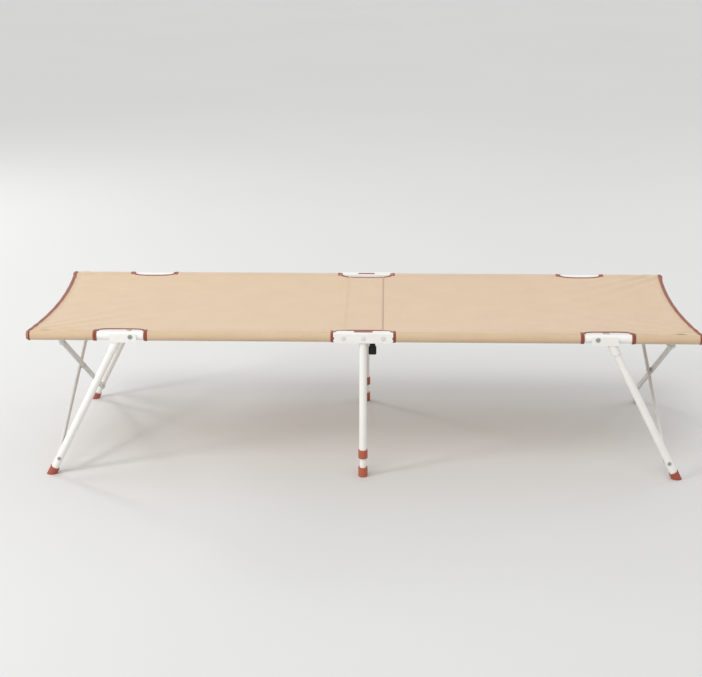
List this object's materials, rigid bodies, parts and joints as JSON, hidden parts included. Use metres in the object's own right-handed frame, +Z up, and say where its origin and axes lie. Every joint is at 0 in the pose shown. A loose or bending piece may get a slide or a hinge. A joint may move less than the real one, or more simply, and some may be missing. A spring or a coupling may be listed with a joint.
{
  "type": "folding cot",
  "caption": "Folding camp cot: a canvas sling on two hinged side rails, with centre legs, slanting end legs and crossed end braces.",
  "frame": {"origin": "on the floor under the middle of the bed", "axes": "+X along the bed, +Y across it, away from the near rail, +Z up"},
  "size_m": [1.9, 0.6932, 0.4333],
  "materials": {
    "sling_canvas": "plain-weave sand canvas",
    "sleeve_canvas": "plain-weave sand canvas, doubled",
    "rust_rubber": "matt terracotta rubber",
    "rust_plastic": "matt terracotta plastic",
    "rivet_steel": "zinc plated",
    "rail_plastic": "matt terracotta plastic",
    "knuckle_steel": "white powder coat",
    "black_webbing": "black webbing and buckle",
    "brace_paint": "pale grey powder coat",
    "frame_paint": "white powder coat"
  },
  "bodies": {
    "near_left_rail": {"near_left_rail": "frame_paint", "near_left_rail_knuckle": "knuckle_steel", "near_left_rail_cap": "rail_plastic", "near_left_brace_bracket": "brace_paint", "near_left_sling_sleeve": "sleeve_canvas", "left_bed_panel": "sling_canvas"},
    "near_left_leg": {"near_left_leg": "frame_paint", "near_left_leg_bracket": "frame_paint", "near_left_leg_boot": "rust_rubber", "near_left_leg_fasteners": "rivet_steel"},
    "near_left_brace": {"near_left_brace": "brace_paint"},
    "far_left_rail": {"far_left_rail": "frame_paint", "far_left_rail_knuckle": "knuckle_steel", "far_left_rail_cap": "rail_plastic", "far_left_brace_bracket": "brace_paint", "far_left_sling_sleeve": "sleeve_canvas"},
    "far_left_leg": {"far_left_leg": "frame_paint", "far_left_leg_bracket": "frame_paint", "far_left_leg_boot": "rust_rubber", "far_left_leg_fasteners": "rivet_steel"},
    "far_left_brace": {"far_left_brace": "brace_paint"},
    "near_right_rail": {"near_right_rail": "frame_paint", "near_right_rail_knuckle": "knuckle_steel", "near_right_rail_cap": "rail_plastic", "near_right_brace_bracket": "brace_paint", "near_right_sling_sleeve": "sleeve_canvas", "right_bed_panel": "sling_canvas"},
    "near_right_leg": {"near_right_leg": "frame_paint", "near_right_leg_bracket": "frame_paint", "near_right_leg_boot": "rust_rubber", "near_right_leg_fasteners": "rivet_steel"},
    "near_right_brace": {"near_right_brace": "brace_paint"},
    "far_right_rail": {"far_right_rail": "frame_paint", "far_right_rail_knuckle": "knuckle_steel", "far_right_rail_cap": "rail_plastic", "far_right_brace_bracket": "brace_paint", "far_right_sling_sleeve": "sleeve_canvas"},
    "far_right_leg": {"far_right_leg": "frame_paint", "far_right_leg_bracket": "frame_paint", "far_right_leg_boot": "rust_rubber", "far_right_leg_fasteners": "rivet_steel"},
    "far_right_brace": {"far_right_brace": "brace_paint"},
    "near_centre": {"near_centre_bracket": "frame_paint", "near_centre_rivets": "rivet_steel", "near_centre_leg": "frame_paint", "near_centre_collar": "rust_plastic", "centre_bed_panel": "sling_canvas", "tie_strap": "black_webbing"},
    "near_foot": {"near_centre_slider": "frame_paint", "near_centre_foot": "rust_rubber"},
    "far_centre": {"far_centre_bracket": "frame_paint", "far_centre_rivets": "rivet_steel", "far_centre_leg": "frame_paint", "far_centre_collar": "rust_plastic"},
    "far_foot": {"far_centre_slider": "frame_paint", "far_centre_foot": "rust_rubber"}
  },
  "joints": [
    {"name": "width_close", "type": "slide", "parent": "near_left_rail", "child": "far_left_rail", "axis": [0, -1, 0], "range_m": [0, 0.59], "deforming": ["left_bed_panel", "centre_bed_panel", "right_bed_panel"]},
    {"name": "near_centre_fold", "type": "hinge", "parent": "near_left_rail", "child": "near_centre", "pos_m": [-0.056, -0.33, 0.419], "axis": [0, 1, 0], "range_deg": [0, 90]},
    {"name": "near_right_fold", "type": "hinge", "parent": "near_centre", "child": "near_right_rail", "pos_m": [0.056, -0.33, 0.419], "axis": [0, 1, 0], "range_deg": [0, 90]},
    {"name": "far_centre_fold", "type": "hinge", "parent": "far_left_rail", "child": "far_centre", "pos_m": [-0.056, 0.33, 0.419], "axis": [0, 1, 0], "range_deg": [0, 90]},
    {"name": "far_right_fold", "type": "hinge", "parent": "far_centre", "child": "far_right_rail", "pos_m": [0.056, 0.33, 0.419], "axis": [0, 1, 0], "range_deg": [0, 90]},
    {"name": "near_left_leg_fold", "type": "hinge", "parent": "near_left_rail", "child": "near_left_leg", "pos_m": [-0.655, -0.33, 0.419], "axis": [0, -1, 0], "range_deg": [0, 117.07]},
    {"name": "far_left_leg_fold", "type": "hinge", "parent": "far_left_rail", "child": "far_left_leg", "pos_m": [-0.655, 0.33, 0.419], "axis": [0, -1, 0], "range_deg": [0, 117.07]},
    {"name": "near_right_leg_fold", "type": "hinge", "parent": "near_right_rail", "child": "near_right_leg", "pos_m": [0.655, -0.33, 0.419], "axis": [0, 1, 0], "range_deg": [0, 117.07]},
    {"name": "far_right_leg_fold", "type": "hinge", "parent": "far_right_rail", "child": "far_right_leg", "pos_m": [0.655, 0.33, 0.419], "axis": [0, 1, 0], "range_deg": [0, 117.07]},
    {"name": "near_left_brace_swing", "type": "hinge", "parent": "near_left_rail", "child": "near_left_brace", "pos_m": [-0.855, -0.306, 0.393], "axis": [0.3496, -0.1116, -0.9302], "range_deg": [0, 99.47]},
    {"name": "far_left_brace_swing", "type": "hinge", "parent": "far_left_rail", "child": "far_left_brace", "pos_m": [-0.867, 0.306, 0.393], "axis": [0.4495, -0.7754, 0.4436], "range_deg": [0, 106.32]},
    {"name": "near_right_brace_swing", "type": "hinge", "parent": "near_right_rail", "child": "near_right_brace", "pos_m": [0.867, -0.306, 0.393], "axis": [-0.4495, 0.7754, 0.4436], "range_deg": [0, 106.32]},
    {"name": "far_right_brace_swing", "type": "hinge", "parent": "far_right_rail", "child": "far_right_brace", "pos_m": [0.855, 0.306, 0.393], "axis": [-0.3496, 0.1116, -0.9302], "range_deg": [0, 99.47]},
    {"name": "near_foot_slide", "type": "slide", "parent": "near_centre", "child": "near_foot", "axis": [0, 0, -1], "range_m": [0, 0.03]},
    {"name": "far_foot_slide", "type": "slide", "parent": "far_centre", "child": "far_foot", "axis": [0, 0, -1], "range_m": [0, 0.03]}
  ],
  "couplings": [
    {"joint": "far_centre_fold", "follows": "near_centre_fold", "ratio": 1},
    {"joint": "far_right_fold", "follows": "near_right_fold", "ratio": 1},
    {"joint": "far_left_leg_fold", "follows": "near_left_leg_fold", "ratio": 1},
    {"joint": "far_right_leg_fold", "follows": "near_right_leg_fold", "ratio": 1},
    {"joint": "near_left_brace_swing", "follows": "width_close", "rad_per_m": 2.9422},
    {"joint": "far_left_brace_swing", "follows": "width_close", "rad_per_m": 3.1448},
    {"joint": "near_right_brace_swing", "follows": "width_close", "rad_per_m": 3.1448},
    {"joint": "far_right_brace_swing", "follows": "width_close", "rad_per_m": 2.9422}
  ]
}
